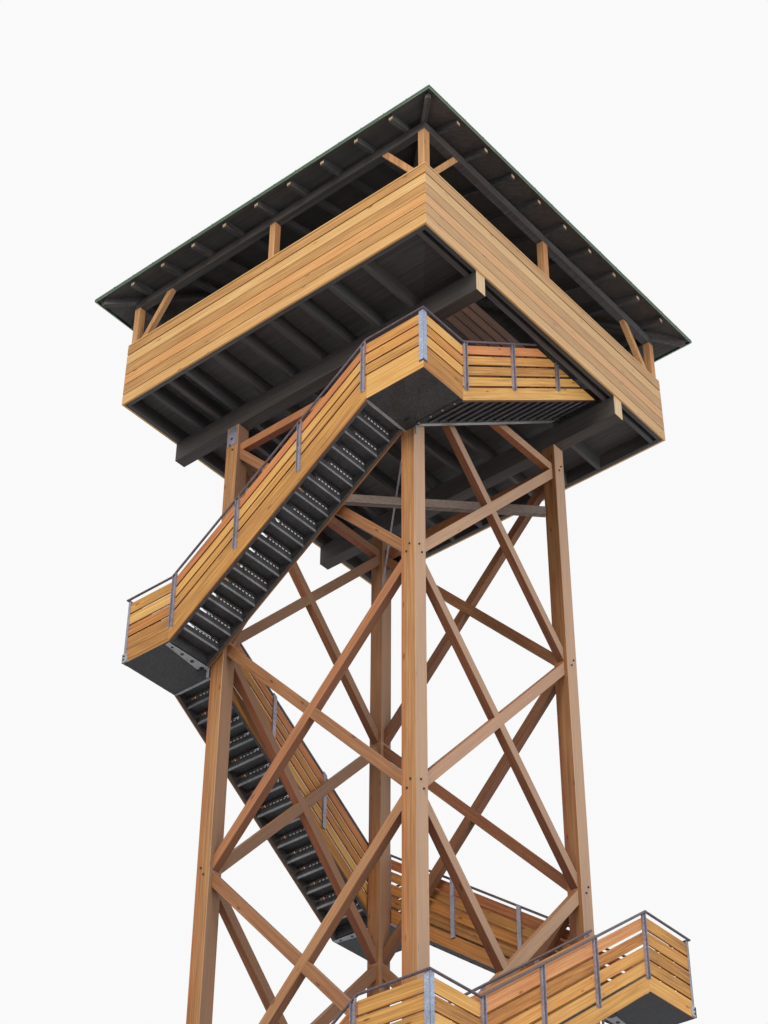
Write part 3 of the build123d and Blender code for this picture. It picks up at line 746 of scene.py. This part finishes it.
def landing_undersides():
    plates = Builder("landing_soffit_plates")
    strips = Builder("landing_edge_strips")
    dark = Builder("landing_dark_fittings")
    bolts = Builder("landing_bolts")
    inside = OUTER_BOARD_FACE - STRIP_INSET
    outside = STAIR_OUTER - PLATE_INSET
    for flight in range(FLIGHTS - 1):
        side = side_of(flight)
        front = side == 0
        under = (flight + 1) * FLIGHT_RISE - STRINGER_BELOW
        low = under - SOFFIT_PLATE
        outline = [
            (LANDING_EDGE, outside),
            (outside, outside),
            (outside, -LOWER_KINK),
            (LEG_OUTER, -LOWER_KINK),
            (LEG_OUTER, LEG_OUTER),
            (LANDING_EDGE, LEG_OUTER),
        ]
        plates.plan_prism(side, outline, low, under - PLATE_GAP, turned(side, 1, 0))
        if front:
            middle = (LEG_OUTER + inside) / 2
            rib = (math.sqrt(2) * (inside - LEG_OUTER), *RIB_SIZE)
            slanted = Matrix.Rotation(math.radians(-45), 3, "Z")
            plates.box(spot(side, middle, middle, low - RIB_SIZE[1] / 2), rib, slanted)
        west = LANDING_EDGE - STRIP_OVERLAP
        east = LANDING_EDGE + STRIP_WIDTH - STRIP_OVERLAP
        start = [(west, inside), (east, inside), (east, LEG_OUTER), (west, LEG_OUTER)]
        strips.plan_prism(side, start, low - STRIP_DEPTH, low, turned(side, 0, 1))
        if front:
            end_strip(dark, bolts, side + 1, low, front)
        else:
            end_strip(strips, dark, side + 1, low, front)
        back, out, drop = TAB_PLACE
        tab = spot(side + 1, LOWER_KINK - back, LEG_OUTER + out, low - drop)
        strips.box(tab, TAB_SIZE, Matrix.Rotation(math.radians(90 * side), 3, "Z"), 2)
        ahead, out, drop = FITTING_PLACE
        fitting = spot(side, LANDING_EDGE + ahead, LEG_OUTER + out, low - drop)
        dark.disc(fitting, (0, 0, -1), FITTING_RADIUS, FITTING_DEPTH, FITTING_SIDES)
    plates.finish(shaded_landing_zinc, "galvanised_steel")
    strips.finish(channel_zinc, "galvanised_steel")
    dark.finish(dark_zinc_and_hole_shade, "galvanised_steel")
    bolts.finish(edge_zinc, "galvanised_steel")


# Steel treads: a pan painted dark as shade with a lighter rear edge, and a strip with holes standing on it,
# the holes holding pale marks of painted light
def tread_pan(pans, side, front, rear, top):
    """Folded pan of one tread: top plate, front edge and the lips under it."""
    wall = TREAD_WALL
    bottom = top - TREAD_THICKNESS
    for west, east, low, high in (
        (front, rear - wall, top - wall, top),
        (front, front + wall, bottom, top - wall),
        (front + wall, front + TREAD_LIP, bottom, bottom + wall),
        (rear - TREAD_LIP, rear - wall, bottom, bottom + wall),
    ):
        pans.side_box(side, (west, east), (TREAD_INNER, TREAD_OUTER), (low, high))


def riser_strip(pans, marks, side, along, top):
    """Strip at a tread's rear: solid below, bars between holes above, and pale marks in the holes as painted
    light seen through them.
    """
    reach = (TREAD_OUTER - TREAD_INNER) * RISER_SHARE
    spacing = RISER_HOLE + RISER_BAR
    solid_top, bar_top = top + RISER_SOLID, top + RISER_TOP
    pans.side_box(side, along, (TREAD_INNER, TREAD_OUTER), (top, solid_top))
    for index in range(int(reach / spacing)):
        out = TREAD_INNER + index * spacing
        pans.side_box(side, along, (out, out + RISER_BAR), (solid_top, bar_top))
        if index:
            hole = (out - RISER_HOLE + MARK_INSET, out - MARK_INSET)
            marks.side_box(side, along, hole, (solid_top + MARK_INSET, bar_top - MARK_INSET))
    pans.side_box(side, along, (TREAD_INNER, TREAD_INNER + reach), (bar_top, bar_top + RISER_CAP))


def stair_treads():
    pans = Builder("tread_pans")
    edges = Builder("tread_rear_edges")
    marks = Builder("riser_painted_light_marks")
    for flight in range(FLIGHTS):
        side = side_of(flight)
        first_step = 0 if flight else 1
        for step in range(first_step, RISERS):
            top = flight * FLIGHT_RISE + step * RISE
            front = LOWER_KINK + step * GOING
            rear = front + TREAD_DEPTH
            along = (rear - TREAD_WALL, rear)
            tread_pan(pans, side, front, rear, top)
            edges.side_box(side, along, (TREAD_INNER, TREAD_OUTER), (top - TREAD_THICKNESS, top))
            if step < RISERS - 1:
                riser_strip(pans, marks, side, along, top)
    pans.finish(shaded_grating_zinc, "tread_grating", ("stair_treads",))
    edges.finish(edge_zinc, "tread_grating")
    marks.finish(painted_light_zinc, "tread_grating")


# Boards round the cabin, with a wide gap under the top one and a thin cap
def cabin_cladding():
    zone = CLADDING_HEIGHT / CLADDING_ROWS
    cap_level = SOFFIT + CLADDING_HEIGHT - CLADDING_GAP
    for side, side_name in enumerate(("south", "east", "north", "west")):
        boards = Builder(f"cladding_{side_name}")
        inside = CABIN_HALF - CLADDING
        plan = [(-CABIN_HALF, CABIN_HALF), (CABIN_HALF, CABIN_HALF), (inside, inside), (-inside, inside)]
        along = turned(side, 1, 0)
        for row in range(CLADDING_ROWS):
            low = SOFFIT + row * zone
            if row == CLADDING_ROWS - 1:
                low += CLADDING_TOP_GAP - CLADDING_GAP
            high = SOFFIT + (row + 1) * zone - CLADDING_GAP
            if row == CLADDING_ROWS - 1:
                high -= CLADDING_CAP_GAP
            boards.plan_prism(side, plan, low, high, along)
        boards.plan_prism(side, plan, cap_level, cap_level + CLADDING_CAP, along)
        boards.finish(cladding_wood, "larch_cladding", (f"cabin_guard_{side_name}",), BEAM_BEVEL)


# Guard inside the cabin along the stair opening, seen from below through the opening
def opening_guard():
    boards = Builder("opening_boards")
    low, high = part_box("opening_guard")
    middle, size = (low + high) / 2, high - low
    zone = size.z / OPENING_ROWS
    for row in range(OPENING_ROWS):
        centre = (middle.x, middle.y, low.z + (row + 0.5) * zone)
        boards.box(centre, (size.x, size.y, zone - OPENING_GAP), None, 1)
    boards.finish(opening_wood, "larch_stair", ("opening_guard",), BOARD_BEVEL)


# Crossed braces and ring ties, each timber a piece of its own
def node_levels():
    levels = [FLOOR - TOP_NODE_DROP]
    while levels[-1] - BAY_HEIGHT > LOWEST_NODE + BAY_HEIGHT / 2:
        levels.append(levels[-1] - BAY_HEIGHT)
    return levels + [LOWEST_NODE]


def braces():
    levels = node_levels()
    for side, side_name in enumerate(("south", "east", "north", "west")):
        timbers = Builder(f"braces_{side_name}")
        for upper, lower in zip(levels, levels[1:]):
            slope = (upper - lower) / (2 * LEG_HALF_SPAN)
            half = BRACE_DEPTH / 2 * math.hypot(1, slope)
            middle = (upper + lower) / 2
            for hand, thin in ((1, 0.0), (-1, CROSSING_STEP)):
                ends = [(-LEG_INNER, -1), (LEG_INNER, -1), (LEG_INNER, 1), (-LEG_INNER, 1)]
                corners = [(a, middle + hand * slope * a + sign * half) for a, sign in ends]
                inner = LEG_HALF_SPAN - BRACE_WIDTH / 2 + thin
                outer = LEG_HALF_SPAN + BRACE_WIDTH / 2 - thin
                timbers.side_prism(side, corners, inner, outer)
        timbers.side_box(
            side,
            (-LEG_INNER, LEG_INNER),
            (LEG_HALF_SPAN - TIE_HALF_WIDTH, LEG_HALF_SPAN + TIE_HALF_WIDTH),
            (levels[0] - BRACE_DEPTH / 2, levels[0] + BRACE_DEPTH / 2),
        )
        timbers.finish(brace_wood, "larch_braces", (f"bracing_{side_name}",), BEAM_BEVEL)


# Bolts on the legs where the braces meet them, and straps at the legs' tops
def leg_bolts(bolts, side, hand):
    lowest = SHOE_HEIGHT + LEG_BOLT_MARGIN
    for level in node_levels():
        for rise in LEG_BOLT_RISES:
            if level + rise > lowest:
                along = hand * (LEG_HALF_SPAN + rise / 2)
                place = spot(side, along, LEG_OUTER + LEG_BOLT_PLACE, level + rise)
                bolts.disc(place, turned(side, 0, 1), BOLT_RADIUS, LEG_BOLT_HEAD)


def leg_strap(straps, bolts, side, hand):
    middle = hand * LEG_HALF_SPAN
    half, half_top = STRAP_HALF_WIDTH, STRAP_HALF_TOP
    low, shoulder, high = STRAP_LEVELS
    outline = (
        (-half, low),
        (half, low),
        (half, shoulder),
        (half_top, high),
        (-half_top, high),
        (-half, shoulder),
    )
    corners = [(middle + a, LEG_TOP + z) for a, z in outline]
    straps.side_prism(side, corners, LEG_OUTER, LEG_OUTER + STRAP_WALL, (0, 0, 1))
    place = spot(side, middle, LEG_OUTER + 2 * STRAP_WALL, LEG_TOP - STRAP_BOLT_DROP)
    bolts.disc(place, turned(side, 0, 1), STRAP_BOLT_RADIUS, STRAP_BOLT_HEAD)


def leg_steel():
    bolts = Builder("leg_bolts")
    straps = Builder("leg_top_straps")
    for side in range(4):
        for hand in (-1, 1):
            leg_bolts(bolts, side, hand)
            if side % 2 == 0:
                leg_strap(straps, bolts, side, hand)
    bolts.finish(dark_zinc_and_hole_shade, "galvanised_steel")
    straps.finish(post_zinc, "galvanised_steel")


# Sawn ends of the main beams and rafters, in a pale tone that is painted light of their lit faces
def end_grain():
    ends = Builder("main_beam_ends")
    beam_end = CABIN_HALF - CLADDING
    for hand in (-1, 1):
        for side in (1, 3):
            beam = hand * LEG_HALF_SPAN
            along = (beam - BEAM_WIDTH / 2, beam + BEAM_WIDTH / 2)
            ends.side_box(side, along, (beam_end, beam_end + END_WALL), (LEG_TOP, SOFFIT), 2)
    rafters = Builder("rafter_ends")
    rafter_end = (RAFTER_END, RAFTER_END + END_WALL)
    lift, height = RAFTER_END_SHARES
    for side in range(4):
        for index in range(RAFTER_COUNT):
            place = (index - (RAFTER_COUNT - 1) / 2) * RAFTER_SPACING
            west, east = place - RAFTER_WIDTH / 2, place + RAFTER_WIDTH / 2
            low = EAVES - RAFTER_DROP + RAFTER_DEPTH * lift
            rafters.side_box(side, (west, east), rafter_end, (low, low + RAFTER_DEPTH * height), 2)
    ends.finish(lit_end_wood, "larch_posts")
    rafters.finish(lit_end_wood, "larch_posts")


# Pale folded edge on the inside of the eaves trim
def eaves_fold():
    fold = Builder("eaves_trim_fold")
    thin, deep = EAVES_TRIM
    outer = EAVES_HALF - thin - FOLD_GAP
    inner = outer - FOLD_WIDTH
    for side in range(4):
        plan = [(-outer, outer), (outer, outer), (inner, inner), (-inner, inner)]
        fold.plan_prism(side, plan, EAVES - deep, EAVES - deep + FOLD_HEIGHT, turned(side, 1, 0))
    fold.finish(roof_pale, "roof_metal")


# Standing seams of the roof sheet, from the eaves up to the hips
def roof_seams():
    seams = Builder("roof_seams")
    rise = math.tan(math.radians(ROOF_PITCH))
    outer = EAVES_HALF - SEAM_EAVES_GAP
    count = int((outer - SEAM_HIP_GAP - SEAM_SHORTEST) / SEAM_SPACING)
    for side in range(4):
        for index in range(-count, count + 1):
            place = index * SEAM_SPACING
            inner = max(abs(place) + SEAM_HIP_GAP, SEAM_TOP_GAP)
            faces = []
            for edge in (place - SEAM_WIDTH / 2, place + SEAM_WIDTH / 2):
                face = []
                for out, lift in ((outer, 0), (inner, 0), (inner, SEAM_HEIGHT), (outer, SEAM_HEIGHT)):
                    level = EAVES + ROOF_SHEET + (EAVES_HALF - out) * rise + lift
                    face.append(spot(side, edge, out, level))
                faces.append(face)
            seams.prism(faces[0], faces[1], turned(side, 0, 1, -rise))
    seams.finish(roof_green, "roof_metal")


flight_guards("outer_flight_boards", OUTER_BOARD_FACE, "outer_flight_guards")
flight_guards("inner_flight_boards", INNER_BOARD_FACE, "inner_flight_guards")
landing_guards()
guard_channels()
top_flight_edge()
corner_angles()
landing_undersides()
stair_treads()
cabin_cladding()
opening_guard()
braces()
leg_steel()
end_grain()
eaves_fold()
roof_seams()


# Stage: a pale floor, soft light from the world and two lamps
def stage_floor():
    bpy.ops.mesh.primitive_plane_add(size=400, location=(0, 0, -0.001))
    floor = bpy.context.object
    floor.name = "studio_floor"
    shader = Shader("studio_floor")
    floor.data.materials.append(shader.finish((0.78, 0.78, 0.78), 0.9))


def add_lamp(name, place, target, size, energy, colour=(1, 1, 1)):
    data = bpy.data.lights.new(name, "AREA")
    data.energy = energy
    data.size = size
    data.color = colour
    lamp = bpy.data.objects.new(name, data)
    lamp.location = CENTRE + Vector(place)
    lamp.rotation_mode = "QUATERNION"
    lamp.rotation_quaternion = (Vector(target) - Vector(place)).to_track_quat("-Z", "Y")
    bpy.context.scene.collection.objects.link(lamp)


def world_light():
    world = bpy.data.worlds.new("studio_world")
    world.use_nodes = True
    bpy.context.scene.world = world
    tree = world.node_tree
    light = tree.nodes["Background"]
    light.inputs["Color"].default_value = (0.92, 0.95, 1.0, 1)
    light.inputs["Strength"].default_value = 0.5
    white = tree.nodes.new("ShaderNodeBackground")
    white.inputs["Color"].default_value = (1, 1, 1, 1)
    white.inputs["Strength"].default_value = 0.95
    path = tree.nodes.new("ShaderNodeLightPath")
    seen = tree.nodes.new("ShaderNodeMath")
    seen.operation = "MAXIMUM"
    tree.links.new(path.outputs["Is Camera Ray"], seen.inputs[0])
    tree.links.new(path.outputs["Is Glossy Ray"], seen.inputs[1])
    mix = tree.nodes.new("ShaderNodeMixShader")
    tree.links.new(seen.outputs[0], mix.inputs[0])
    tree.links.new(light.outputs[0], mix.inputs[1])
    tree.links.new(white.outputs[0], mix.inputs[2])
    tree.links.new(mix.outputs[0], tree.nodes["World Output"].inputs["Surface"])


CAMERA_PLACE = Vector((17.986, -21.823, 1.243))
CAMERA_YAW = math.radians(39.93)
CAMERA_PITCH = math.radians(38.82)
CAMERA_ROLL = math.radians(0.36)
CAMERA_LENS = 71.03
CAMERA_SENSOR = 36.0


def add_camera():
    data = bpy.data.cameras.new("camera")
    data.lens = CAMERA_LENS
    data.sensor_width = CAMERA_SENSOR
    data.clip_end = 500
    camera = bpy.data.objects.new("camera", data)
    bpy.context.scene.collection.objects.link(camera)
    level = math.cos(CAMERA_PITCH)
    ahead = Vector((-math.sin(CAMERA_YAW) * level, math.cos(CAMERA_YAW) * level, math.sin(CAMERA_PITCH)))
    flat_right = Vector((math.cos(CAMERA_YAW), math.sin(CAMERA_YAW), 0))
    flat_up = flat_right.cross(ahead)
    right = flat_right * math.cos(CAMERA_ROLL) + flat_up * math.sin(CAMERA_ROLL)
    up = flat_up * math.cos(CAMERA_ROLL) - flat_right * math.sin(CAMERA_ROLL)
    turn = Matrix((right, up, -ahead)).transposed()
    camera.matrix_world = Matrix.Translation(CENTRE + CAMERA_PLACE) @ turn.to_4x4()
    bpy.context.scene.camera = camera


stage_floor()
world_light()
add_lamp("key", (10, -34, 34), (0, 0, 16), 14, 8000, (1.0, 0.96, 0.9))
add_lamp("fill", (34, -6, 20), (0, 0, 16), 16, 5200, (0.95, 0.97, 1.0))
add_camera()
bpy.context.scene.view_settings.view_transform = "Standard"
